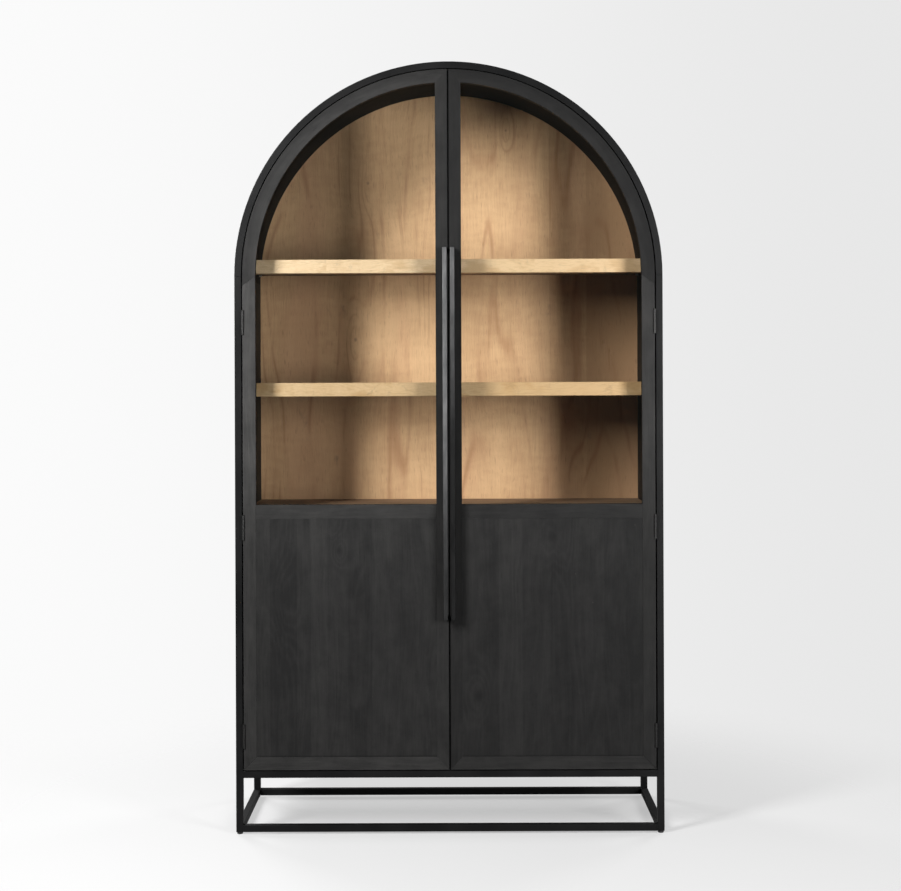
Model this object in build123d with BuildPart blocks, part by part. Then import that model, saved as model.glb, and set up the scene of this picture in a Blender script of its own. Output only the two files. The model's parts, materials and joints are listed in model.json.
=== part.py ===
from build123d import *
import os
from math import acos, degrees, sqrt

# Arched display cabinet on an open steel base, with a pair of glazed doors.
# Millimetres. X runs across the cabinet, -Y is the front and Z is up from the floor.
# The origin is on the floor under the middle of the whole object, handles included.

# ---- Overall form ----
width = 1118
carcass_depth = 400
handle_reach = 36
arch_centre_z = 1457
half_width = width / 2

# ---- Steel hoops and base ----
tube = 18
tube_wall = 1.5
tube_bore = tube - 2 * tube_wall
glide_height = 6
glide_r = 7.5
glide_stem_r = 4
glide_stem_length = 16
insert_length = 20
running_gap = 0.05
carcass_rail_z = 147
tube_inner = half_width - tube
post_x = half_width - tube / 2
carcass_floor_z = carcass_rail_z + tube

# ---- Carcass boards ----
wall_inner = 534
wall_outer = 552
door_stop_depth = 24
back_panel_thick = 8
back_rebate = 10
back_slack = 0.5
board = 22
back_panel_depth = carcass_depth - tube - back_panel_thick
deck_top_z = 848

# ---- Shelves ----
shelf_front_depth = 60
lip_depth = 40
lip_height = 36
shelf_end_x = 531
upper_shelf_top_z = 1504
middle_shelf_top_z = 1178
lower_shelf_top_z = 506
shelf_pin_r = 2.5
shelf_pin_length = 16
shelf_pin_seat = 9
shelf_pin_depths = (130, 340)
curve_allowance = 2

# ---- Doors ----
door_gap = 3
door_proud = 4
door_thick = 24
door_edge_x = tube_inner - door_gap
door_middle_x = door_gap / 2
door_bottom_z = carcass_floor_z + door_gap
rail_width = 34
meeting_width = 32
lock_rail_low_z = 823
lock_rail_high_z = 860
scarf_drop = 25
glass_edge_x = door_edge_x - rail_width
meeting_inner_x = door_middle_x + meeting_width
door_back_depth = door_thick - door_proud
panel_recess = 2

# ---- Glazing ----
rebate = 8
front_lip = 6
glass_thick = 4
glass_slack = 1
bead_thick = 9
bead_slack = 0.3
bead_joint = 0.2

# ---- Felt strip between the doors ----
seal_depth = 3
seal_width = 8
seal_thick = 2.5

# ---- Handles ----
handle_x = 10
handle_bar = 12
handle_low_z = 560
handle_high_z = 1529
handle_corner_r = 3.5
handle_softening = 2
handle_screw_r = 2.5
handle_screw_head_r = 4.5
handle_screw_head = 3
handle_screw_bite = 14

# ---- Hinges ----
hinge_zs = (256.5, 801, 1336)
hinge_length = 64
knuckles = 5
knuckle_gap = 0.3
barrel_r = 3.25
pin_r = 1.5
pin_running = 0.05
leaf_thick = 1.2
leaf_reach = 20
leaf_start = 3.6
hinge_screw_offsets = (-22, 0, 22)
hinge_screw_reach = 12
hinge_screw_r = 1.5
hinge_screw_head_r = 2.7
hinge_screw_in_wood = 14
hinge_screw_in_steel = 7
notch_clear = 0.6
pin_x = door_edge_x - 0.5
pin_depth = -door_proud - 1

# ---- Magnetic catch ----
catch_width = 70
catch_depth = 22
catch_height = 12
magnet_width = 20
magnet_height = 8
magnet_x = 19
strike_width = 24
strike_height = 14
strike_thick = 1
catch_air = 0.4

# ---- Derived positions ----
front_y = handle_reach - (carcass_depth + handle_reach) / 2
back_y = front_y + carcass_depth
pin_y = front_y + pin_depth
above_all = arch_centre_z + 2 * half_width
mirror_plane = Plane.YZ


def depth_plane(depth):
    """Upright plane facing the front, this far behind the front faces of the posts."""
    return Plane.XZ.offset(-(front_y + depth))


def save(builder, label):
    """Label one finished piece and write it."""
    builder.part.label = label
    export_step(builder.part, f"parts/{label}.step")


def save_door_pair(builder, label):
    """Write a piece of the right-hand door, and its mirror image for the left-hand door."""
    save(builder, f"right_{label}")
    left_piece = mirror(builder.part, about=mirror_plane)
    left_piece.label = f"left_{label}"
    export_step(left_piece, f"parts/left_{label}.step")


def arched_bay(near, far, low):
    """Flat shape from x near to x far above low, closed at the top by the arch of radius far."""
    arc_top = arch_centre_z + sqrt(far**2 - near**2)
    with BuildSketch() as bay:
        with BuildLine():
            Polyline((near, arc_top), (near, low), (far, low), (far, arch_centre_z))
            CenterArc((0, arch_centre_z), far, 0, degrees(acos(near / far)))
        make_face()
    return bay.sketch


def arch_band(inner, outer):
    """Flat half ring above the springing line."""
    with BuildSketch() as band:
        with Locations((0, arch_centre_z)):
            Circle(outer)
            Circle(inner, mode=Mode.SUBTRACT)
        with Locations((0, arch_centre_z)):
            Rectangle(2 * outer, outer, align=(Align.CENTER, Align.MIN), mode=Mode.INTERSECT)
    return band.sketch


def arched_back(half, low):
    """Flat arch-topped shape across the whole cabinet, down to low."""
    with BuildSketch() as panel:
        with BuildLine():
            Polyline((half, arch_centre_z), (half, low), (-half, low), (-half, arch_centre_z))
            CenterArc((0, arch_centre_z), half, 0, 180)
        make_face()
    return panel.sketch


def steel_tube(label, plane, length):
    """Straight square tube centred on the plane's origin."""
    with BuildPart() as member:
        with BuildSketch(plane):
            Rectangle(tube, tube)
            Rectangle(tube_bore, tube_bore, mode=Mode.SUBTRACT)
        extrude(amount=length)
    save(member, label)


os.makedirs("parts", exist_ok=True)
sides = (("left", -1), ("right", 1))
post_rows = (("front", front_y + tube / 2), ("rear", back_y - tube / 2))
hinge_screw_zs = [z + offset for z in hinge_zs for offset in hinge_screw_offsets]
hinge_screw_points = [(pin_y + hinge_screw_reach, z) for z in hinge_screw_zs]

# ---- Steel hoops: each is two posts and a rolled arch, front and rear ----
for row, y in post_rows:
    with BuildPart() as arch_tube:
        with BuildSketch(depth_plane(y - tube / 2 - front_y)):
            add(arch_band(tube_inner, half_width))
        extrude(amount=-tube)
        with BuildSketch(depth_plane(y - tube_bore / 2 - front_y)):
            add(arch_band(tube_inner + tube_wall, half_width - tube_wall))
        extrude(amount=-tube_bore, mode=Mode.SUBTRACT)
    save(arch_tube, f"{row}_arch_tube")

    for hand, side in sides:
        with BuildPart() as post:
            with BuildSketch(Plane((side * post_x, y, glide_height))):
                Rectangle(tube, tube)
                Rectangle(tube_bore, tube_bore, mode=Mode.SUBTRACT)
            extrude(amount=arch_centre_z - glide_height)
            if row == "front":
                with BuildSketch(Plane.YZ.offset(side * tube_inner)):
                    with Locations(*hinge_screw_points):
                        Circle(hinge_screw_r + running_gap)
                extrude(amount=side * tube_wall, mode=Mode.SUBTRACT)
        save(post, f"{row}_{hand}_post")

# ---- Base: a ring of tube at the floor and a ring under the carcass ----
side_rail_length = carcass_depth - 2 * tube
for ring, low_z in (("floor", glide_height), ("carcass", carcass_rail_z)):
    middle_z = low_z + tube / 2
    for row, y in post_rows:
        across = Plane((-tube_inner, y, middle_z), x_dir=(0, 1, 0), z_dir=(1, 0, 0))
        steel_tube(f"{row}_{ring}_rail", across, 2 * tube_inner)
    for hand, side in sides:
        along = Plane((side * post_x, front_y + tube, middle_z), x_dir=(1, 0, 0), z_dir=(0, 1, 0))
        steel_tube(f"{hand}_{ring}_rail", along, side_rail_length)

# ---- Plastic inserts in the feet of the posts, and the glides screwed into them ----
feet = [(side * post_x, y) for _, side in sides for _, y in post_rows]
with BuildPart() as inserts:
    with BuildSketch(Plane.XY.offset(glide_height)):
        with Locations(*feet):
            Rectangle(tube_bore - 2 * running_gap, tube_bore - 2 * running_gap)
            Circle(glide_stem_r + running_gap, mode=Mode.SUBTRACT)
    extrude(amount=insert_length)
save(inserts, "leg_inserts")

with BuildPart() as glides:
    with BuildSketch():
        with Locations(*feet):
            Circle(glide_r)
    extrude(amount=glide_height)
    chamfer(glides.edges().group_by(Axis.Z)[0], length=1)
    with BuildSketch(Plane.XY.offset(glide_height)):
        with Locations(*feet):
            Circle(glide_stem_r)
    extrude(amount=glide_stem_length)
save(glides, "leg_glides")

# ---- Shelf levels: the boards rest on pins in the walls ----
pin_levels = [top - board - shelf_pin_r for top in (upper_shelf_top_z, middle_shelf_top_z, lower_shelf_top_z)]
pin_points = [(front_y + depth, z) for depth in shelf_pin_depths for z in pin_levels]


def bore_pin_holes(side, points):
    """Blind holes for the shelf pins in the open wall piece on this side."""
    with BuildSketch(Plane.YZ.offset(side * (wall_inner - curve_allowance))) as holes:
        with Locations(*points):
            Circle(shelf_pin_r + running_gap)
    extrude(holes.sketch, amount=side * (shelf_pin_seat + curve_allowance), mode=Mode.SUBTRACT)


# ---- Side panels: rebated in front as the door stop and behind for the back panel ----
for hand, side in sides:
    with BuildPart() as side_panel:
        with BuildSketch(Plane.XY.offset(carcass_floor_z)):
            Polygon(
                (side * wall_outer, front_y + tube),
                (side * tube_inner, front_y + tube),
                (side * tube_inner, front_y + door_stop_depth),
                (side * wall_inner, front_y + door_stop_depth),
                (side * wall_inner, front_y + back_panel_depth),
                (side * (wall_inner + back_rebate), front_y + back_panel_depth),
                (side * (wall_inner + back_rebate), back_y - tube),
                (side * wall_outer, back_y - tube),
            )
        extrude(amount=arch_centre_z - carcass_floor_z)
        bore_pin_holes(side, [point for point in pin_points if point[1] < arch_centre_z])
    save(side_panel, f"{hand}_side_panel")

# ---- Arch panel: bent board that closes the top, with the same two rebates ----
with BuildPart() as arch_panel:
    with BuildSketch(depth_plane(tube)):
        add(arch_band(wall_inner, wall_outer))
    extrude(amount=-(carcass_depth - 2 * tube))
    with BuildSketch(depth_plane(tube)):
        add(arch_band(wall_inner, tube_inner))
    extrude(amount=-(door_stop_depth - tube), mode=Mode.SUBTRACT)
    with BuildSketch(depth_plane(back_panel_depth)):
        add(arch_band(wall_inner, wall_inner + back_rebate))
    extrude(amount=-back_panel_thick, mode=Mode.SUBTRACT)
    for _, side in sides:
        bore_pin_holes(side, [point for point in pin_points if point[1] > arch_centre_z])
save(arch_panel, "arch_panel")

# ---- Bottom panel: between the side panels, set back so that the doors close in front of it ----
with BuildPart() as bottom_panel:
    with BuildSketch(Plane.XY.offset(carcass_floor_z)):
        with Locations((0, front_y + door_stop_depth)):
            Rectangle(
                2 * wall_inner, back_panel_depth - door_stop_depth, align=(Align.CENTER, Align.MIN)
            )
    extrude(amount=board)
save(bottom_panel, "bottom_panel")

# ---- Middle deck: fixed board at the foot of the glass ----
with BuildPart() as middle_deck:
    with BuildSketch(Plane.XY.offset(deck_top_z - board)):
        with Locations((0, front_y + door_stop_depth)):
            Rectangle(
                2 * wall_inner, back_panel_depth - door_stop_depth, align=(Align.CENTER, Align.MIN)
            )
    extrude(amount=board)
save(middle_deck, "middle_deck")

# ---- Back panel: thin board in the rear rebates ----
with BuildPart() as back_panel:
    with BuildSketch(depth_plane(back_panel_depth)):
        add(arched_back(wall_inner + back_rebate - back_slack, carcass_floor_z))
    extrude(amount=-back_panel_thick)
save(back_panel, "back_panel")


def shelf_board(label, top_z, front_depth):
    """Loose shelf board from front_depth to the back panel."""
    with BuildPart() as shelf:
        with BuildSketch(Plane.XY.offset(top_z - board)):
            with Locations((0, front_y + front_depth)):
                Rectangle(
                    2 * shelf_end_x, back_panel_depth - front_depth, align=(Align.CENTER, Align.MIN)
                )
        extrude(amount=board)
    save(shelf, label)


def shelf_lipping(label, top_z):
    """Thick solid lipping glued along the shelf's front edge."""
    with BuildPart() as lipping:
        with BuildSketch(Plane.XY.offset(top_z - lip_height)):
            with Locations((0, front_y + shelf_front_depth)):
                Rectangle(2 * shelf_end_x, lip_depth, align=(Align.CENTER, Align.MIN))
        extrude(amount=lip_height)
        front_edges = lipping.edges().filter_by(Axis.X).group_by(Axis.Y)[0]
        fillet(front_edges, radius=1)
    save(lipping, label)


# ---- Shelves: two wide-lipped shelves behind the glass and a plain one below ----
for name, top_z in (("upper", upper_shelf_top_z), ("middle", middle_shelf_top_z)):
    shelf_board(f"{name}_shelf", top_z, shelf_front_depth + lip_depth)
    shelf_lipping(f"{name}_shelf_lipping", top_z)
shelf_board("lower_shelf", lower_shelf_top_z, shelf_front_depth)

with BuildPart() as shelf_pins:
    for _, side in sides:
        with BuildSketch(Plane.YZ.offset(side * (wall_inner + shelf_pin_seat - 1))):
            with Locations(*pin_points):
                Circle(shelf_pin_r)
        extrude(amount=-side * shelf_pin_length)
save(shelf_pins, "shelf_pins")

# ---- Door members, drawn for the right-hand door and mirrored for the left ----
outer_mitre_z = arch_centre_z + sqrt(door_edge_x**2 - door_middle_x**2)
inner_mitre_z = arch_centre_z + sqrt(glass_edge_x**2 - meeting_inner_x**2)
panel_low_z = door_bottom_z + rail_width
glass_depth = front_lip - door_proud
door_face = depth_plane(-door_proud)


def grown_bay(growth):
    """The glass opening of the right-hand door, grown by this much all round."""
    return arched_bay(meeting_inner_x - growth, glass_edge_x + growth, lock_rail_high_z - growth)


def cut_glass_rebate():
    """Cut the rebate that holds the glass, from behind, in the open door member."""
    with BuildSketch(depth_plane(glass_depth)) as recess:
        add(grown_bay(rebate))
    extrude(recess.sketch, amount=-door_thick, mode=Mode.SUBTRACT)


with BuildPart() as hinge_stile:
    with BuildSketch(door_face):
        Polygon(
            (door_edge_x, door_bottom_z),
            (door_edge_x, arch_centre_z - scarf_drop),
            (glass_edge_x, arch_centre_z),
            (glass_edge_x, panel_low_z),
        )
    extrude(amount=-door_thick)
    cut_glass_rebate()
    notch_x = pin_x - barrel_r - notch_clear
    notch_depth = pin_depth + barrel_r + notch_clear
    with BuildSketch(door_face):
        with Locations(*[(notch_x, z) for z in hinge_zs]):
            Rectangle(
                2 * barrel_r + 2 * notch_clear,
                hinge_length + 2 * notch_clear,
                align=(Align.MIN, Align.CENTER),
            )
    extrude(amount=-(notch_depth + door_proud), mode=Mode.SUBTRACT)
    with BuildSketch(Plane.YZ.offset(door_edge_x)):
        with Locations(*hinge_screw_points):
            Circle(hinge_screw_r + running_gap)
    extrude(amount=-hinge_screw_in_wood, mode=Mode.SUBTRACT)
save_door_pair(hinge_stile, "hinge_stile")

with BuildPart() as arch_rail:
    with BuildSketch(door_face):
        add(arch_band(glass_edge_x, door_edge_x))
        Polygon(
            (door_middle_x, outer_mitre_z),
            (door_middle_x, above_all),
            (above_all, above_all),
            (above_all, arch_centre_z),
            (meeting_inner_x, arch_centre_z),
            (meeting_inner_x, inner_mitre_z),
            mode=Mode.INTERSECT,
        )
        Polygon(
            (glass_edge_x, arch_centre_z),
            (door_edge_x, arch_centre_z - scarf_drop),
            (door_edge_x, arch_centre_z),
        )
    extrude(amount=-door_thick)
    cut_glass_rebate()
save_door_pair(arch_rail, "arch_rail")

handle_post_zs = (handle_low_z + handle_bar / 2, handle_high_z - handle_bar / 2)
with BuildPart() as meeting_stile:
    with BuildSketch(door_face):
        Polygon(
            (door_middle_x, door_bottom_z),
            (meeting_inner_x, panel_low_z),
            (meeting_inner_x, inner_mitre_z),
            (door_middle_x, outer_mitre_z),
        )
    extrude(amount=-door_thick)
    cut_glass_rebate()
    with BuildSketch(door_face):
        with Locations(*[(handle_x, z) for z in handle_post_zs]):
            Circle(handle_screw_r + running_gap)
    extrude(amount=-door_thick, mode=Mode.SUBTRACT)
save_door_pair(meeting_stile, "meeting_stile")

with BuildPart() as lock_rail:
    with BuildSketch(door_face):
        with Locations((meeting_inner_x, lock_rail_low_z)):
            Rectangle(
                glass_edge_x - meeting_inner_x,
                lock_rail_high_z - lock_rail_low_z,
                align=(Align.MIN, Align.MIN),
            )
    extrude(amount=-door_thick)
    cut_glass_rebate()
save_door_pair(lock_rail, "lock_rail")

with BuildPart() as bottom_rail:
    with BuildSketch(door_face):
        Polygon(
            (door_middle_x, door_bottom_z),
            (door_edge_x, door_bottom_z),
            (glass_edge_x, panel_low_z),
            (meeting_inner_x, panel_low_z),
        )
    extrude(amount=-door_thick)
save_door_pair(bottom_rail, "bottom_rail")

with BuildPart() as lower_panel:
    with BuildSketch(door_face):
        with Locations((meeting_inner_x, panel_low_z)):
            Rectangle(
                glass_edge_x - meeting_inner_x, lock_rail_low_z - panel_low_z, align=(Align.MIN, Align.MIN)
            )
    extrude(amount=-(door_thick - panel_recess))
save_door_pair(lower_panel, "lower_panel")

# ---- Felt strip glued to the left door's meeting edge, which closes the gap between the doors ----
with BuildPart() as meeting_seal:
    with BuildSketch(depth_plane(seal_depth)):
        with Locations((-door_middle_x, door_bottom_z)):
            Rectangle(seal_thick, outer_mitre_z - door_bottom_z, align=(Align.MIN, Align.MIN))
    extrude(amount=-seal_width)
save(meeting_seal, "left_meeting_seal")

# ---- Glass panes, and the beads that hold them from behind ----
with BuildPart() as glass:
    with BuildSketch(depth_plane(glass_depth)):
        add(grown_bay(rebate - glass_slack))
    extrude(amount=-glass_thick)
save_door_pair(glass, "glass")

with BuildPart() as glass_beads:
    with BuildSketch(depth_plane(glass_depth + glass_thick)):
        add(grown_bay(rebate - bead_slack))
        add(grown_bay(0), mode=Mode.SUBTRACT)
        with Locations(
            (meeting_inner_x - rebate / 2, lock_rail_high_z),
            (glass_edge_x + rebate / 2, lock_rail_high_z),
            (glass_edge_x + rebate / 2, arch_centre_z),
        ):
            Rectangle(rebate, bead_joint, mode=Mode.SUBTRACT)
        with Locations((meeting_inner_x, arch_centre_z + glass_edge_x)):
            Rectangle(bead_joint, 2 * rebate, mode=Mode.SUBTRACT)
    extrude(amount=-bead_thick)
save_door_pair(glass_beads, "glass_beads")

# ---- Handles: a long bar with a welded foot at each end, screwed through the meeting stile ----
handle_out = handle_reach - door_proud
with BuildPart() as handle:
    with BuildSketch(Plane.YZ.offset(handle_x - handle_bar / 2)):
        with Locations((front_y - handle_reach, handle_low_z)):
            Rectangle(handle_out, handle_high_z - handle_low_z, align=(Align.MIN, Align.MIN))
        with Locations((front_y - handle_reach + handle_bar, handle_low_z + handle_bar)):
            Rectangle(
                handle_out - handle_bar,
                handle_high_z - handle_low_z - 2 * handle_bar,
                align=(Align.MIN, Align.MIN),
                mode=Mode.SUBTRACT,
            )
    extrude(amount=handle_bar)
    fillet(handle.edges().filter_by(Axis.Y).group_by(Axis.Z)[0], radius=handle_corner_r)
    fillet(handle.edges().filter_by(Axis.Y).group_by(Axis.Z)[-1], radius=handle_corner_r)
    fillet(handle.faces().sort_by(Axis.Y)[0].edges(), radius=handle_softening)
    with BuildSketch(door_face):
        with Locations(*[(handle_x, z) for z in handle_post_zs]):
            Circle(handle_screw_r + running_gap)
    extrude(amount=handle_screw_bite + 1, mode=Mode.SUBTRACT)
save_door_pair(handle, "handle")

with BuildPart() as handle_screws:
    with BuildSketch(depth_plane(door_back_depth)):
        with Locations(*[(handle_x, z) for z in handle_post_zs]):
            Circle(handle_screw_r)
    extrude(amount=door_thick + handle_screw_bite)
    with BuildSketch(depth_plane(door_back_depth)):
        with Locations(*[(handle_x, z) for z in handle_post_zs]):
            Circle(handle_screw_head_r)
    extrude(amount=-handle_screw_head)
    rear_rims = handle_screws.edges().filter_by(GeomType.CIRCLE).group_by(Axis.Y)[-1]
    fillet(rear_rims, radius=1)
save_door_pair(handle_screws, "handle_screws")

# ---- Butt hinges: knuckles alternate between the two leaves round a fixed pin ----
knuckle_pitch = hinge_length / knuckles


def hinge_leaves(leaf_low_x, first_knuckle):
    """Three right-hand leaves, from leaf_low_x, that own every second knuckle."""
    knuckle_height = knuckle_pitch - knuckle_gap
    owned = range(first_knuckle, knuckles, 2)
    knuckle_zs = [z - hinge_length / 2 + (n + 0.5) * knuckle_pitch for z in hinge_zs for n in owned]
    with BuildPart() as leaves:
        with BuildSketch(Plane.XZ.offset(-(pin_y + leaf_start))):
            with Locations(*[(leaf_low_x, z) for z in hinge_zs]):
                Rectangle(leaf_thick, hinge_length, align=(Align.MIN, Align.CENTER))
        extrude(amount=-(leaf_reach - leaf_start))
        for z in knuckle_zs:
            with BuildSketch(Plane.XY.offset(z - knuckle_height / 2)):
                with Locations((pin_x, pin_y)):
                    Circle(barrel_r)
                with Locations((leaf_low_x, pin_y)):
                    Rectangle(leaf_thick, leaf_start, align=(Align.MIN, Align.MIN))
                with Locations((pin_x, pin_y)):
                    Circle(pin_r + pin_running, mode=Mode.SUBTRACT)
            extrude(amount=knuckle_height)
        with BuildSketch(Plane.YZ.offset(leaf_low_x)):
            with Locations(*hinge_screw_points):
                Circle(hinge_screw_head_r + running_gap)
        extrude(amount=leaf_thick, mode=Mode.SUBTRACT)
    return leaves


def hinge_screws(head_x, toward, length):
    """Right-hand hinge screws with flush heads at head_x, running in the direction toward."""
    with BuildPart() as screws:
        with BuildSketch(Plane.YZ.offset(head_x)):
            with Locations(*hinge_screw_points):
                Circle(hinge_screw_head_r)
        extrude(amount=toward * leaf_thick)
        with BuildSketch(Plane.YZ.offset(head_x)):
            with Locations(*hinge_screw_points):
                Circle(hinge_screw_r)
        extrude(amount=toward * length)
    return screws


frame_leaf_x = tube_inner - leaf_thick
door_leaf_face_x = door_edge_x + leaf_thick
save_door_pair(hinge_leaves(door_edge_x, 1), "hinge_leaves")
save_door_pair(hinge_screws(door_leaf_face_x, -1, hinge_screw_in_wood), "hinge_screws")

with BuildPart() as frame_leaves:
    add(hinge_leaves(frame_leaf_x, 0).part)
    mirror(about=mirror_plane)
save(frame_leaves, "frame_hinge_leaves")

with BuildPart() as frame_screws:
    add(hinge_screws(frame_leaf_x, 1, hinge_screw_in_steel).part)
    mirror(about=mirror_plane)
save(frame_screws, "frame_hinge_screws")

with BuildPart() as hinge_pins:
    for z in hinge_zs:
        with BuildSketch(Plane.XY.offset(z - hinge_length / 2)):
            with Locations((pin_x, pin_y), (-pin_x, pin_y)):
                Circle(pin_r)
        extrude(amount=hinge_length)
save(hinge_pins, "hinge_pins")

# ---- Double magnetic catch under the deck, and a strike plate on each meeting stile ----
catch_top_z = deck_top_z - board
catch_front_depth = door_back_depth + strike_thick + catch_air
catch_middle_z = catch_top_z - catch_height / 2
with BuildPart() as catch_housing:
    with BuildSketch(depth_plane(catch_front_depth)):
        with Locations((0, catch_middle_z)):
            Rectangle(catch_width, catch_height)
    extrude(amount=-catch_depth)
    with BuildSketch(depth_plane(catch_front_depth)):
        with Locations((magnet_x, catch_middle_z), (-magnet_x, catch_middle_z)):
            Rectangle(magnet_width, magnet_height)
    extrude(amount=-catch_depth / 2, mode=Mode.SUBTRACT)
save(catch_housing, "catch_housing")

with BuildPart() as catch_magnets:
    with BuildSketch(depth_plane(catch_front_depth)):
        with Locations((magnet_x, catch_middle_z), (-magnet_x, catch_middle_z)):
            Rectangle(magnet_width - 2 * running_gap, magnet_height - 2 * running_gap)
    extrude(amount=-(catch_depth / 2 - running_gap))
save(catch_magnets, "catch_magnets")

with BuildPart() as strike_plate:
    with BuildSketch(depth_plane(door_back_depth)):
        with Locations((magnet_x, catch_middle_z)):
            Rectangle(strike_width, strike_height)
    extrude(amount=-strike_thick)
save_door_pair(strike_plate, "strike_plate")
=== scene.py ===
import json
from math import e, pi, radians

import bmesh
import bpy
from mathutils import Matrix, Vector


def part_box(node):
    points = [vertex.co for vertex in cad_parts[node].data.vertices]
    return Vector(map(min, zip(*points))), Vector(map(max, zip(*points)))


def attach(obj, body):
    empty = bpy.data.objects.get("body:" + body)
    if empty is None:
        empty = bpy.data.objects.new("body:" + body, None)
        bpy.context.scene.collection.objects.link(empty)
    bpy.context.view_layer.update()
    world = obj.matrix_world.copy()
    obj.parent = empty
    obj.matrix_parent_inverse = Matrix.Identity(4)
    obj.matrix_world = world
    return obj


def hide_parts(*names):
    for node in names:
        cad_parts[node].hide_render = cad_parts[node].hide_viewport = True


# Arched display cabinet: a black steel frame with a wooden carcass in it and a pair of glazed doors.
# Metres. X runs across the cabinet, -Y is the front and Z is up from the floor.
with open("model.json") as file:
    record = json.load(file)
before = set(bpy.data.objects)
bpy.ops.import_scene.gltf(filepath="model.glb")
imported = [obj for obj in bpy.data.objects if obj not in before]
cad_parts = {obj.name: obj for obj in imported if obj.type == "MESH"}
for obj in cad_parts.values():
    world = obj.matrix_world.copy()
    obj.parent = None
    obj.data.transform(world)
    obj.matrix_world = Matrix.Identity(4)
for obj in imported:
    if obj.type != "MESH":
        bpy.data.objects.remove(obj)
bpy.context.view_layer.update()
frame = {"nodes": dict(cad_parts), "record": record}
nodes = frame["nodes"]
bodies = frame["record"]["behaviour"]["bodies"]
body_of_node = {node: body for body, members in bodies.items() for node in members}

# ---- Camera ----
# It stands about four and a half metres in front at chest height and looks level and square
# at the doors. The small shift lowers the frame so that the feet and the arch both fit.
lens = bpy.data.cameras.new("camera")
lens.sensor_width = 36
lens.lens = 65.7
lens.shift_y = -0.0698
camera = bpy.data.objects.new("camera", lens)
camera.location = (0.0132, -4.4728, 1.1774)
camera.rotation_euler = (pi / 2, 0.0038, 0.002)
bpy.context.scene.collection.objects.link(camera)
bpy.context.scene.camera = camera
bpy.context.scene.view_settings.view_transform = "Standard"


# ---- Studio ----
# A high softbox on the left gives most of the light and a lower one on the right fills in.
# The sweep behind is nearly white, a little brighter on the left, and so is the floor.
class Wire:
    """A shader socket: Python's operators on it add Math nodes, and node() adds any other node."""

    def __init__(self, tree, socket=None):
        self.tree = tree
        self.socket = socket

    def node(self, kind, settings, sockets, output=0):
        """The output of a new node, from its type, its settings and the values of its sockets."""
        made = self.tree.nodes.new("ShaderNode" + kind)
        for name, setting in settings.items():
            setattr(made, name, setting)
        for name, value in sockets.items():
            if isinstance(value, Wire):
                self.tree.links.new(value.socket, made.inputs[name])
            else:
                made.inputs[name].default_value = value
        return Wire(self.tree, made.outputs[output] if made.outputs else None)

    def math(self, operation, first, second=0.0):
        return self.node("Math", {"operation": operation}, {0: first, 1: second})

    def __add__(self, other):
        return self.math("ADD", self, other)

    __radd__ = __add__

    def __sub__(self, other):
        return self.math("SUBTRACT", self, other)

    def __rsub__(self, other):
        return self.math("SUBTRACT", other, self)

    def __mul__(self, other):
        return self.math("MULTIPLY", self, other)

    __rmul__ = __mul__

    def __truediv__(self, other):
        return self.math("DIVIDE", self, other)

    def __pow__(self, other):
        return self.math("POWER", self, other)

    def __rpow__(self, other):
        return self.math("POWER", other, self)

    def __gt__(self, other):
        return self.math("GREATER_THAN", self, other)

    def sine(self):
        return self.math("SINE", self)

    def absolute(self):
        return self.math("ABSOLUTE", self)

    def ramp(self, start, end):
        """0 below start, 1 above end, and smooth between them."""
        sockets = {"Value": self, "From Min": start, "From Max": end}
        return self.node("MapRange", {"interpolation_type": "SMOOTHSTEP"}, sockets)

    def mix(self, without, full):
        """The colour without at 0 and the colour full at 1."""
        sockets = {0: self, 6: without, 7: full}
        return self.node("Mix", {"data_type": "RGBA", "clamp_factor": True}, sockets, 2)

    def axes(self):
        return [self.node("SeparateXYZ", {}, {0: self}, axis) for axis in range(3)]

    def vector(self, x, y, z):
        return self.node("CombineXYZ", {}, {0: x, 1: y, 2: z})

    def noise(self, detail=2.0, roughness=0.5):
        """Noise from 0 to 1 over this vector, with one cell to a unit."""
        sockets = {"Vector": self, "Scale": 1.0, "Detail": detail, "Roughness": roughness}
        return self.node("TexNoise", {}, sockets)


sweep_left = 0.965
sweep_right = 0.80
studio_dimness = 0.03
world = bpy.data.worlds.new("sweep")
world.use_nodes = True
world.node_tree.nodes.clear()
start = Wire(world.node_tree)
toward_right = start.node("TexCoord", {}, {}, "Generated").axes()[0]
brightness = sweep_left + (sweep_right - sweep_left) * toward_right.ramp(-0.3, 0.3)
seen = start.node("LightPath", {}, {}, "Is Camera Ray")
strength = seen * brightness + (1 - seen) * studio_dimness
shown = start.node("Background", {}, {"Color": (1, 1, 1, 1), "Strength": strength})
start.node("OutputWorld", {}, {"Surface": shown})
bpy.context.scene.world = world


def softbox(name, place, aim, width, height, watts):
    """A rectangular soft light that the camera doesn't see."""
    light = bpy.data.lights.new(name, "AREA")
    light.shape = "RECTANGLE"
    light.size = width
    light.size_y = height
    light.energy = watts
    stand = bpy.data.objects.new(name, light)
    stand.location = place
    stand.rotation_euler = (Vector(aim) - Vector(place)).to_track_quat("-Z", "Y").to_euler()
    stand.visible_camera = False
    bpy.context.scene.collection.objects.link(stand)


softbox("high_left_softbox", (-2.44, -2.6, 2.55), (0, 0, 1.0), width=0.9, height=1.6, watts=271)
softbox("right_softbox", (2.17, -2.6, 1.3), (0, 0, 1.1), width=0.95, height=1.4, watts=120)
softbox("rear_left_softbox", (-2.2, 2.6, 2.2), (0, 0, 1.0), width=1.2, height=1.6, watts=110)
softbox("rear_right_softbox", (2.4, 2.4, 1.8), (0, 0, 1.0), width=1.2, height=1.6, watts=80)

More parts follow.
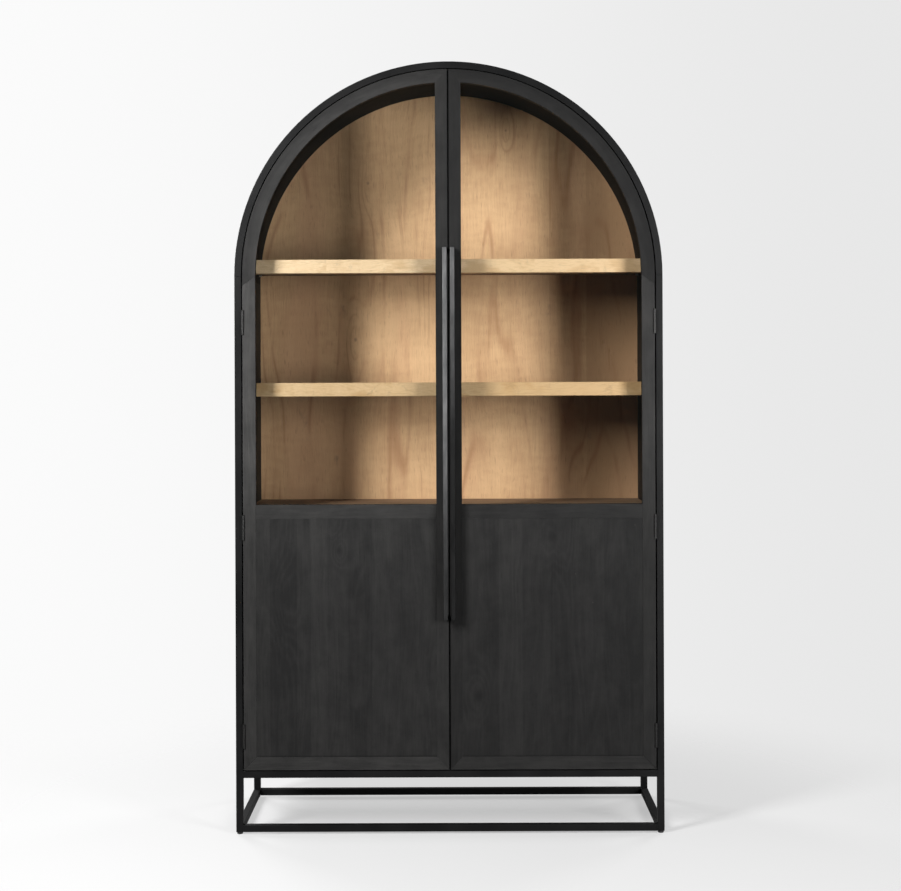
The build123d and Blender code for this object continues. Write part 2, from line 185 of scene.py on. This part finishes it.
floor_radius = 2.6
fade_start = 0.75
fade_end = 1.8
floor_glow = 0.58
shade_under_cabinet = 0.20
floor_mesh = bpy.data.meshes.new("studio_floor")
floor = bpy.data.objects.new("studio_floor", floor_mesh)
disc = bmesh.new()
bmesh.ops.create_circle(disc, cap_ends=True, radius=floor_radius, segments=96)
disc.to_mesh(floor_mesh)
disc.free()
bpy.context.scene.collection.objects.link(floor)
floor_finish = bpy.data.materials.new("studio_floor")
floor_finish.use_nodes = True
floor_finish.node_tree.nodes.clear()
start = Wire(floor_finish.node_tree)
x, y, _ = start.node("TexCoord", {}, {}, "Object").axes()
from_centre = (x * x + y * y) ** 0.5
seen = start.node("LightPath", {}, {}, "Is Camera Ray")
# The floor's glow is dimmed in a soft patch under the cabinet: painted shade.
under_middle = 1 - x.absolute().ramp(0.42, 0.62)
under = under_middle * (1 - y.absolute().ramp(0.10, 0.30))
brightness = sweep_left + (sweep_right - sweep_left) * x.ramp(-1.3, 1.3)
glow = seen * (1 - shade_under_cabinet * under) * brightness * floor_glow
painted = start.node("BsdfDiffuse", {}, {"Color": (0.23, 0.23, 0.23, 1)})
lit = start.node("Emission", {}, {"Color": glow, "Strength": 1.0})
both = start.node("AddShader", {}, {0: painted, 1: lit})
clear = start.node("BsdfTransparent", {}, {})
faded = start.node("MixShader", {}, {0: from_centre.ramp(fade_start, fade_end), 1: both, 2: clear})
start.node("OutputMaterial", {}, {"Surface": faded})
floor_mesh.materials.append(floor_finish)


# ---- Steel frame ----
# Square tube, mitred and welded into two arched hoops joined by rails at the floor and under the
# carcass. The welds are dressed flush and the frame is sprayed black, satin and slightly textured.
def new_finish(name):
    """A new empty material, and the object coordinates that its pattern is drawn on."""
    material = bpy.data.materials.new(name)
    material.use_nodes = True
    material.node_tree.nodes.clear()
    return material, Wire(material.node_tree).node("TexCoord", {}, {}, "Object")


def surface(place, sockets, height=None, depth=0.0):
    """The finish's Principled shader, with its bumps if it has them."""
    if height is not None:
        sockets = {**sockets, "Normal": place.node("Bump", {}, {"Height": height, "Distance": depth})}
    place.node("OutputMaterial", {}, {"Surface": place.node("BsdfPrincipled", {}, sockets)})


def dress(material, *names):
    """Give these CAD nodes the finish."""
    for name in names:
        for slot in nodes[name].material_slots:
            slot.material = material


merge_distance = 0.00001
flat_within = radians(0.5)
sharp_beyond = radians(30)
shortest_eased = 6  # eased radii


def ease(name, radius, material):
    """Stand in for a CAD node with the same solid, its sharp arrises eased by radius."""
    shape = bmesh.new()
    shape.from_mesh(nodes[name].data)
    bmesh.ops.remove_doubles(shape, verts=shape.verts, dist=merge_distance)
    bmesh.ops.dissolve_limit(shape, angle_limit=flat_within, verts=shape.verts, edges=shape.edges)
    sharp = [
        edge
        for edge in shape.edges
        if edge.is_manifold
        and edge.calc_face_angle() > sharp_beyond
        and edge.calc_length() > shortest_eased * radius
    ]
    rounding = {"offset": radius, "segments": 3, "profile": 0.5, "clamp_overlap": True}
    bmesh.ops.bevel(shape, geom=sharp, affect="EDGES", material=-1, **rounding)
    for face in shape.faces:
        face.smooth = True
    mesh = bpy.data.meshes.new("eased_" + name)
    shape.to_mesh(mesh)
    shape.free()
    mesh.set_sharp_from_angle(angle=sharp_beyond + radians(2))
    mesh.materials.append(material)
    piece = bpy.data.objects.new("eased_" + name, mesh)
    bpy.context.scene.collection.objects.link(piece)
    shading = piece.modifiers.new("flat_faces_stay_flat", "WEIGHTED_NORMAL")
    shading.keep_sharp = True
    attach(piece, body_of_node[name])
    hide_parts(name)
    return piece


sprayed_steel, place = new_finish("sprayed_steel")
x, y, z = place.axes()
pebble = place.vector(x * 700, y * 700, z * 700).noise(2)
cloud = place.vector(x * 9, y * 9, z * 9).noise(4)
rub = place.vector(x * 60, y * 60, z * 25).noise(5, 0.7).ramp(0.62, 0.75)
black_coat = (0.0024, 0.0025, 0.0026, 1)
thinner_coat = (0.0045, 0.0045, 0.0046, 1)
rubbed_coat = (0.012, 0.012, 0.012, 1)
colour = cloud.ramp(0.3, 0.7).mix(black_coat, thinner_coat)
colour = (rub * 0.4).mix(colour, rubbed_coat)
sockets = {"Base Color": colour, "Roughness": 0.36 + 0.14 * cloud, "Specular IOR Level": 0.18}
surface(place, sockets, pebble, 0.00012)

hoop_parts = ("arch_tube", "left_post", "right_post")
hoop_tubes = [f"{row}_{part}" for row in ("front", "rear") for part in hoop_parts]
rail_places = ("front", "rear", "left", "right")
rail_tubes = [f"{where}_{ring}_rail" for where in rail_places for ring in ("floor", "carcass")]
tube_corner_radius = 0.0016
for tube in hoop_tubes + rail_tubes:
    ease(tube, tube_corner_radius, sprayed_steel)

# ---- Feet ----
# Moulded black plastic: an insert is pushed into the foot of each post and a round glide screws
# into it. The housing of the magnetic catch is moulded from the same plastic.
foot_plastic, place = new_finish("foot_plastic")
x, y, z = place.axes()
scuff = place.vector(x * 120, y * 120, z * 400).noise(4)
colour = scuff.mix((0.006, 0.006, 0.006, 1), (0.016, 0.0155, 0.015, 1))
surface(place, {"Base Color": colour, "Roughness": 0.45 + 0.25 * scuff}, scuff, 0.0001)
dress(foot_plastic, "leg_inserts", "leg_glides", "catch_housing")


# ---- Carcass ----
# Solid mango boards, stained black and waxed. The grain stands upright in the sides
# and bends round with the arch panel.
def scaled(colour, factor):
    """The colour, darker or lighter by a factor."""
    return colour.node("VectorMath", {"operation": "SCALE"}, {0: colour, "Scale": factor})


def grained(place, along_grain, cells_across, cells_along, detail=2.0, roughness=0.5, shift=0.0):
    """Noise drawn out along the grain, with so many cells to a metre across it and along it."""
    across, through, along = along_grain
    cells = place.vector(across * cells_across + shift, through * cells_across, along * cells_along)
    return cells.noise(detail, roughness)


def squared_distance(across, along, knot, stretch):
    """From a knot (across, along, radius), with the lengths along the grain times stretch."""
    return (across - knot[0]) ** 2 + ((along - knot[1]) * stretch) ** 2


def stained_mango(
    name, grain, seed, dark=0.0045, light=0.013, staves=(), knots=(), fades=(), sheen=0.16
):
    """Black stained wood. grain turns the object's x, y and z into across, through and along.

    Each stave is a place across and a step in tone. Each knot is a place across, a place along
    and a radius. Each fade is an axis (0 across, 1 through, 2 along), its start, its end and
    how much paler or darker the wood is past the end.
    """
    material, place = new_finish(name)
    across, through, along = grain(place, *place.axes())
    straight = (across, through, along)
    bend = grained(place, straight, 5, 2.2, shift=seed) - 0.5
    across = across + 0.05 * bend
    wandering = (across, through, along)
    field = grained(place, wandering, 11, 1.3, 2, 0.4, shift=seed)
    for knot in knots:
        reach = squared_distance(straight[0], along, knot, 0.45) / knot[2] ** 2
        field = field + 0.35 * e ** (-0.35 * reach)
    rings = (0.5 + 0.5 * (field * 75).sine()) ** 2
    fibre = grained(place, wandering, 380, 14, 4, 0.62)
    mottle = grained(place, wandering, 17, 11, 5, 0.62, shift=seed)
    shimmer = place.vector(across * 26 + seed, through * 26, along * 48 + bend * 14).noise(4, 0.55)
    tone = 0.18 * rings + 0.30 * fibre.ramp(0.28, 0.72)
    tone = tone + 0.40 * mottle.ramp(0.30, 0.70) + 0.12 * shimmer.ramp(0.3, 0.7)
    for edge, step in staves:
        tone = tone + step * (straight[0] > edge)
    for knot in knots:
        reach = squared_distance(straight[0], along, knot, 0.8) ** 0.5
        tone = tone * reach.ramp(knot[2] * 0.1, knot[2])
    pores = grained(place, wandering, 800, 55).ramp(0.64, 0.73)
    specks = grained(place, wandering, 300, 110, 1).ramp(0.80, 0.84)
    pale_speck = (0.045, 0.042, 0.038, 1)
    warm = (light * 1.02, light * 0.99, light * 0.955, 1)
    colour = tone.mix((dark, dark * 0.99, dark * 0.97, 1), warm)
    colour = (pores * 0.5).mix(colour, (dark * 0.5, dark * 0.5, dark * 0.5, 1))
    colour = (specks * 0.5).mix(colour, pale_speck)
    for axis, start, end, factor in fades:
        colour = straight[axis].ramp(start, end).mix(colour, scaled(colour, factor))
    rough = 0.60 - 0.10 * mottle + 0.10 * fibre
    height = fibre * 0.6 + rings * 0.2 - pores * 0.8
    sockets = {"Base Color": colour, "Roughness": rough, "Specular IOR Level": sheen}
    surface(place, sockets, height, 0.00025)
    return material


def upright(place, x, y, z):
    return x, y, z


def upright_side(place, x, y, z):
    return y, x, z


def level(place, x, y, z):
    return z, y, x


arch_centre_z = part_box("front_arch_tube")[0].z
arch_mean_radius = 0.52


def bent(place, x, y, z):
    """Across is the distance from the arch's centre line, and along follows the curve."""
    rise = z - arch_centre_z
    angle = place.math("ARCTAN2", rise, x)
    return (x * x + rise * rise) ** 0.5, y, angle * arch_mean_radius


panel_arris = 0.0008
# The side panels are darker on their inner faces than on their outer ones: painted shade inside the
# carcass.
for side, toward, seed in (("left", -1, 3.1), ("right", 1, 9.6)):
    outer_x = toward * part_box("right_side_panel")[1].x
    painted_shade_inside = ((1, outer_x - toward * 0.006, outer_x - toward * 0.003, 1.9),)
    look = {"dark": 0.0030, "light": 0.0090, "fades": painted_shade_inside, "sheen": 0.10}
    side_wood = stained_mango(f"stained_{side}_side_wood", upright_side, seed, **look)
    ease(f"{side}_side_panel", panel_arris, side_wood)
# The arch panel is far darker inside than outside: painted shade under the arch.
outer_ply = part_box("arch_panel")[1].x - 0.005
painted_shade_inside = ((0, outer_ply, outer_ply + 0.002, 5.2),)
look = {"dark": 0.0012, "light": 0.0036, "fades": painted_shade_inside, "sheen": 0.03}
bent_panel_wood = stained_mango("stained_bent_panel", bent, 7.7, **look)
ease("arch_panel", panel_arris, bent_panel_wood)
level_wood = stained_mango("stained_level_wood", level, 5.3)
ease("bottom_panel", panel_arris, level_wood)


# ---- Shelves, deck and back ----
# Natural mango: veneered boards, with a thick lipping glued up from short staves on two shelves.
# The back is a veneered panel in upright leaves, stained black behind.
def natural_veneer(name, grain, seed, light, dark, streak, leaf_steps_and_painted_light=(), knots=()):
    """Clear waxed veneer: wandering grain, thin reddish figure, cloudy tone and grey stains."""
    material, place = new_finish(name)
    across, through, along = grain(place, *place.axes())
    straight = across
    bend = grained(place, (across, through, along), 4, 1.7, shift=seed) - 0.5
    across = across + 0.07 * bend
    wandering = (across, through, along)
    field = grained(place, wandering, 6.5, 0.8, 1.6, 0.4, shift=seed)
    for knot in knots:
        reach = squared_distance(straight, along, knot, 0.30) / knot[2] ** 2
        field = field + 0.22 * e ** (-0.25 * reach)
    rings = 0.5 + 0.5 * (field * 70).sine()
    fibre = grained(place, wandering, 330, 13, 4, 0.65)
    cloud = grained(place, wandering, 8, 4.5, 5, 0.58, shift=seed)
    shimmer = place.vector(across * 22 + seed, through * 22, along * 55 + bend * 5).noise(3, 0.5)
    tone = 0.40 * cloud.ramp(0.32, 0.68) + 0.36 * fibre.ramp(0.30, 0.70)
    tone = tone + 0.08 * rings + 0.20 * shimmer.ramp(0.34, 0.66)
    # Steps in tone at the leaf edges: real leaf tone, with painted light and shade in them.
    for edge, step in leaf_steps_and_painted_light:
        tone = tone + step * (straight > edge)
    colour = tone.mix(light, dark)
    rosy = grained(place, wandering, 9, 0.9, 3, shift=seed * 2).ramp(0.45, 0.65)
    colour = (rosy * 0.5).mix(colour, (light[0] * 0.93, light[1] * 0.85, light[2] * 0.88, 1))
    patchy = grained(place, wandering, 10, 3.5, 3, shift=seed * 3).ramp(0.42, 0.64)
    colour = (rings**9 * patchy * 0.50).mix(colour, streak)
    thin = grained(place, wandering, 60, 2.6, 3, 0.55, shift=seed).ramp(0.64, 0.76)
    colour = (thin * 0.42).mix(colour, streak)
    flecks = grained(place, wandering, 520, 36).ramp(0.60, 0.72)
    colour = (flecks * 0.42).mix(colour, (dark[0] * 0.5, dark[1] * 0.45, dark[2] * 0.4, 1))
    grey = grained(place, wandering, 15, 9, 5, 0.68, shift=seed).ramp(0.62, 0.80)
    colour = (grey * 0.55).mix(colour, (dark[0] * 0.42, dark[1] * 0.50, dark[2] * 0.62, 1))
    for knot in knots:
        reach = squared_distance(straight, along, knot, 0.8) ** 0.5
        centre = 1 - reach.ramp(knot[2] * 0.1, knot[2] * 0.55)
        colour = (0.6 * centre).mix(colour, (streak[0] * 0.7, streak[1] * 0.9, streak[2] * 1.2, 1))
    return material, place, colour, fibre


back_light = (0.69, 0.450, 0.240, 1)
back_dark = (0.50, 0.300, 0.152, 1)
back_streak = (0.33, 0.150, 0.065, 1)
# Past these leaf edges the back is paler in the middle and much darker at the right: real leaf tone
# and painted light and shade together.
back_leaves_and_painted_light = (
    (-0.37, -0.10),
    (-0.182, -0.22),
    (0.0, 0.16),
    (0.16, 0.05),
    (0.285, 0.34),
    (0.39, 0.42),
)
back_knots = ((-0.228, 1.744, 0.010), (-0.265, 1.300, 0.012), (0.163, 1.892, 0.008))
back_finish, place, colour, fibre = natural_veneer(
    "natural_back_veneer", upright, 1.7, back_light, back_dark, back_streak, back_leaves_and_painted_light, back_knots
)
_, y, _ = place.axes()
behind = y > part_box("back_panel")[1].y - 0.001
black_stain = (0.028, 0.043, 0.078)
stained = colour.node("VectorMath", {"operation": "MULTIPLY"}, {0: colour, 1: black_stain})
stained = (0.6 * fibre.ramp(0.40, 0.64)).mix(stained, scaled(stained, 0.4))
colour = behind.mix(colour, stained)
sockets = {"Base Color": colour, "Roughness": 0.62 + 0.1 * fibre, "Specular IOR Level": 0.3}
surface(place, sockets, fibre, 0.0002)
dress(back_finish, "back_panel")

# The boards and the deck are coloured far darker than the pale lipping: painted shade inside the
# carcass.
board_light_painted_shade = (0.28, 0.187, 0.110, 1)
board_dark_painted_shade = (0.200, 0.126, 0.071, 1)
board_streak_painted_shade = (0.14, 0.070, 0.035, 1)
board_finish_painted_shade, place, colour, fibre = natural_veneer(
    "board_veneer_painted_shade", level, 4.4, board_light_painted_shade, board_dark_painted_shade, board_streak_painted_shade
)
sockets = {"Base Color": colour, "Roughness": 0.60 + 0.1 * fibre, "Specular IOR Level": 0.3}
surface(place, sockets, fibre, 0.0002)
board_arris = 0.0006
for board in ("middle_deck", "upper_shelf", "middle_shelf", "lower_shelf"):
    ease(board, board_arris, board_finish_painted_shade)


def lipping_finish(name, seed, joints, light, dark, golden):
    """Solid pale mango with wavy grain, in staves that meet at the given places along the shelf."""
    material, place = new_finish(name)
    x, y, z = place.axes()
    stave = sum(x > joint for joint in joints)
    wave = place.vector(x * 20, y * 20, z * 30 + stave * 7.3 + seed).noise(3, 0.6) - 0.5
    fibre = place.vector(x * 22 + stave * 3.1, y * 420, z * 420 + wave * 16).noise(4, 0.62)
    ripple = place.vector(x * 95 + stave * 5.7, y * 130, z * 150 + wave * 9 + seed).noise(4, 0.62)
    patch = place.vector(x * 11 + seed + stave * 1.9, y * 11, z * 22).noise(3, 0.6)
    stave_tone = place.vector(stave * 3.7 + seed, 0.0, 0.0).noise(0)
    tone = 0.26 * fibre.ramp(0.25, 0.75) + 0.22 * ripple.ramp(0.32, 0.68)
    tone = tone + 0.22 * stave_tone.ramp(0.3, 0.7)
    # Darker towards the right end of the shelf: painted shade.
    painted_shade_right = 0.27 + 0.97 * x.ramp(0.0, 0.26)
    tone = tone + painted_shade_right
    colour = tone.mix(light, dark)
    colour = (patch.ramp(0.48, 0.66) * 0.70).mix(colour, golden)
    grey = place.vector(x * 21 + seed * 2, y * 21, z * 60 + wave * 5).noise(5, 0.7).ramp(0.56, 0.74)
    colour = (grey * 0.55).mix(colour, (golden[0] * 0.62, golden[1] * 0.70, golden[2] * 0.86, 1))
    layers = place.vector(x * 7 + stave * 4.3, y * 7, z * 55 + seed).noise(1.5)
    band = 0.5 + 0.5 * (layers * 60).sine()
    colour = (band**6 * 0.22).mix(colour, (golden[0] * 0.75, golden[1] * 0.70, golden[2] * 0.62, 1))
    pores = place.vector(x * 110, y * 900, z * 900).noise(1).ramp(0.68, 0.75)
    brown_pore = (0.25, 0.15, 0.07, 1)
    colour = (pores * 0.35).mix(colour, brown_pore)
    sockets = {"Base Color": colour, "Roughness": 0.58, "Specular IOR Level": 0.35}
    surface(place, sockets, fibre - pores, 0.0002)
    return material


lipping_arris = 0.0012
upper_lipping = lipping_finish(
    "upper_lipping_wood",
    seed=2.3,
    joints=(-0.323, -0.08, 0.228, 0.40),
    light=(0.86, 0.675, 0.430, 1),
    dark=(0.70, 0.505, 0.285, 1),
    golden=(0.58, 0.385, 0.195, 1),
)
ease("upper_shelf_lipping", lipping_arris, upper_lipping)
middle_lipping = lipping_finish(
    "middle_lipping_wood",
    seed=6.1,
    joints=(-0.357, 0.10, 0.29),
    light=(0.74, 0.555, 0.320, 1),
    dark=(0.58, 0.390, 0.195, 1),
    golden=(0.50, 0.310, 0.130, 1),
)
ease("middle_shelf_lipping", lipping_arris, middle_lipping)

# ---- Shelf pins and fastenings ----
# Zinc-plated steel. Turned pins carry the shelves, and screws hold the hinges and the handles.
# The magnets of the catch and the strike plates that they hold have the same plating.
plated, place = new_finish("plated_steel")
x, y, z = place.axes()
brushed = place.vector(x * 500, y * 500, z * 500).noise(3)
colour = brushed.mix((0.50, 0.49, 0.47, 1), (0.66, 0.65, 0.63, 1))
sockets = {"Base Color": colour, "Metallic": 1.0, "Roughness": 0.28 + 0.14 * brushed}
surface(place, sockets, brushed, 0.00005)
dress(plated, "shelf_pins", "frame_hinge_screws", "catch_magnets")
for side in ("left", "right"):
    dress(plated, f"{side}_handle_screws", f"{side}_hinge_screws", f"{side}_strike_plate")

# ---- Door frames ----
# Stiles and rails of stained mango. The bent top rail is scarfed to the hinge stile and the lower
# corners are mitred. All the arrises are eased by hand, and beads behind hold the glass.
def door_member(side, member, grain, seed, tone, arris, fades=()):
    """One stile or rail, its colour from about half of its tone to half as much again."""
    name = f"stained_{side}_{member}"
    wood = stained_mango(name, grain, seed, tone * 0.55, tone * 1.45, fades=fades)
    ease(f"{side}_{member}", arris, wood)
    return wood


frame_arris = 0.0010
flush_arris = 0.0006
half_gap = 0.0015
outer_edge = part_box("front_arch_tube")[1].z - arch_centre_z - 0.02
# The hinge stiles turn paler upwards from about 0.7 m: a painted highlight.
painted_upper_highlight = ((2, 0.72, 1.02, 2.0),)
# The arch rails darken towards their outer edge: painted shadow cast by the steel tube.
edge_shade = ((0, outer_edge - 0.035, outer_edge, 0.6),)
# The left door's members are paler than the right door's: painted light from the left.
for side, toward, seed, hinge_tone, meeting_tone, arch_tone, lock_tone, bottom_tone in (
    ("left", -1, 11.9, 0.0150, 0.0116, 0.0190, 0.0176, 0.0160),
    ("right", 1, 37.2, 0.0087, 0.0072, 0.0082, 0.0098, 0.0116),
):
    # Each meeting stile darkens along its meeting edge: painted shade in the gap between the doors.
    painted_gap_shade = ((0, toward * half_gap * 2.6, toward * half_gap * 1.5, 0.12),)
    door_member(side, "hinge_stile", upright, seed, hinge_tone, frame_arris, painted_upper_highlight)
    meeting_wood = door_member(
        side, "meeting_stile", upright, seed + 3, meeting_tone, frame_arris, painted_gap_shade
    )
    dress(meeting_wood, f"{side}_glass_beads")
    door_member(side, "arch_rail", bent, seed + 5, arch_tone, frame_arris, edge_shade)
    door_member(side, "lock_rail", level, seed + 7, lock_tone, flush_arris)
    door_member(side, "bottom_rail", level, seed + 9, bottom_tone, flush_arris)

# ---- Felt strip ----
# Self-adhesive black felt, stuck down the meeting edge of the left door. Its nap closes the gap
# between the doors, so here it reaches the right door, which the solid strip stops short of.
felt, place = new_finish("black_felt")
nap = place.vector(*[axis * 1500 for axis in place.axes()]).noise(3)
colour = nap.mix((0.001, 0.001, 0.001, 1), (0.005, 0.005, 0.005, 1))
surface(place, {"Base Color": colour, "Roughness": 0.95, "Specular IOR Level": 0.05}, nap, 0.0003)
nap_reach = 0.00052
strip = bmesh.new()
strip.from_mesh(nodes["left_meeting_seal"].data)
bmesh.ops.remove_doubles(strip, verts=strip.verts, dist=merge_distance)
nap_side = [vertex for vertex in strip.verts if vertex.co.x > 0]
bmesh.ops.translate(strip, verts=nap_side, vec=(nap_reach, 0, 0))
strip_mesh = bpy.data.meshes.new("felt_strip")
strip.to_mesh(strip_mesh)
strip.free()
strip_mesh.materials.append(felt)
felt_strip = bpy.data.objects.new("felt_strip", strip_mesh)
bpy.context.scene.collection.objects.link(felt_strip)
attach(felt_strip, body_of_node["left_meeting_seal"])
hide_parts("left_meeting_seal")

# ---- Lower door panels ----
# Solid mango, each panel glued up from upright staves that took the black stain a little
# differently. It is glued into the door frame, flush in front, over a thin dark joint line.
rail_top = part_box("left_bottom_rail")[1].z
# Both panels turn paler above about 0.6 m, and the left panel is paler than the right: painted light.
# Just above the bottom rail they darken in a thin joint line.
painted_top_light_and_joint_line = ((2, 0.56, 0.78, 1.25), (2, rail_top + 0.007, rail_top + 0.001, 0.55))
left_panel_wood = stained_mango(
    "stained_left_panel",
    upright,
    seed=23.6,
    dark=0.0056,
    light=0.0150,
    staves=(
        (-0.468, -0.32),
        (-0.398, 0.26),
        (-0.362, 0.26),
        (-0.318, -0.22),
        (-0.265, -0.18),
        (-0.202, 0.26),
        (-0.13, -0.10),
    ),
    knots=((-0.288, 0.740, 0.011), (-0.43, 0.62, 0.030)),
    fades=painted_top_light_and_joint_line,
)
right_panel_wood = stained_mango(
    "stained_right_panel",
    upright,
    seed=29.3,
    dark=0.0046,
    light=0.0124,
    staves=(
        (0.087, -0.14),
        (0.129, 0.34),
        (0.190, -0.26),
        (0.264, -0.14),
        (0.325, 0.10),
        (0.403, -0.14),
        (0.460, -0.08),
    ),
    knots=((0.27, 0.775, 0.022), (0.075, 0.36, 0.018)),
    fades=painted_top_light_and_joint_line,
)
lower_panel_arris = 0.0004
ease("left_lower_panel", lower_panel_arris, left_panel_wood)
ease("right_lower_panel", lower_panel_arris, right_panel_wood)

# ---- Glass ----
# Clear float glass, cut to the arch and bedded in the rebates behind the door frames, where
# beads hold it. A faint smear is left from wiping.
pane, place = new_finish("clear_glass")
facing = place.node("LayerWeight", {}, {"Blend": 0.35}, "Fresnel")
smear = place.vector(*[axis * 6 for axis in place.axes()]).noise(3)
glass_tint = (0.05, 0.056, 0.053, 1)
sockets = {"Base Color": glass_tint, "Roughness": 0.03 + 0.02 * smear, "Alpha": 0.5 * facing}
surface(place, sockets)
dress(pane, "left_glass", "right_glass")

# ---- Handles ----
# Long square bars with their arrises rounded over, in dark waxed steel. A foot at each end
# is screwed from behind through the meeting stile.
dull_steel = (0.105, 0.105, 0.106, 1)
worn_steel = (0.175, 0.175, 0.175, 1)
# Each bar darkens downwards: a painted highlight on its upper part and painted shade lower down.
for side, painted_shade_depth, painted_shade_below, painted_light_above in (("left", 0.24, 0.62, 1.15), ("right", 0.12, 0.92, 1.74)):
    bar_metal, place = new_finish(f"waxed_{side}_bar")
    x, y, z = place.axes()
    draw = place.vector(x * 900, y * 900, z * 14).noise(3)
    patina = place.vector(x * 40, y * 40, z * 12).noise(4, 0.6)
    bright = patina.ramp(0.3, 0.7).mix(dull_steel, worn_steel)
    colour = z.ramp(painted_shade_below, painted_light_above).mix(scaled(bright, painted_shade_depth), bright)
    left_end, right_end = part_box(f"{side}_handle")
    # The sides of each bar's front are darkened: painted shade on the rounded arrises.
    from_middle = (x - (left_end.x + right_end.x) / 2).absolute()
    colour = from_middle.ramp(0.0040, 0.0056).mix(colour, scaled(colour, 0.4))
    rough = 0.48 + 0.10 * patina + 0.05 * draw
    surface(place, {"Base Color": colour, "Metallic": 1.0, "Roughness": rough}, draw, 0.00006)
    dress(bar_metal, f"{side}_handle")

# ---- Hinges ----
# Three blackened steel butt hinges to a door: two leaves rolled round a pin. They are screwed
# to the post and let into the stile, so that only the knuckles show.
hinge_metal, place = new_finish("blackened_hinge_steel")
x, y, z = place.axes()
grain = place.vector(x * 300, y * 300, z * 300).noise(3)
colour = grain.mix((0.018, 0.018, 0.018, 1), (0.045, 0.044, 0.043, 1))
sockets = {"Base Color": colour, "Metallic": 0.9, "Roughness": 0.40 + 0.15 * grain}
surface(place, sockets, grain, 0.00006)
dress(hinge_metal, "frame_hinge_leaves", "hinge_pins", "left_hinge_leaves", "right_hinge_leaves")
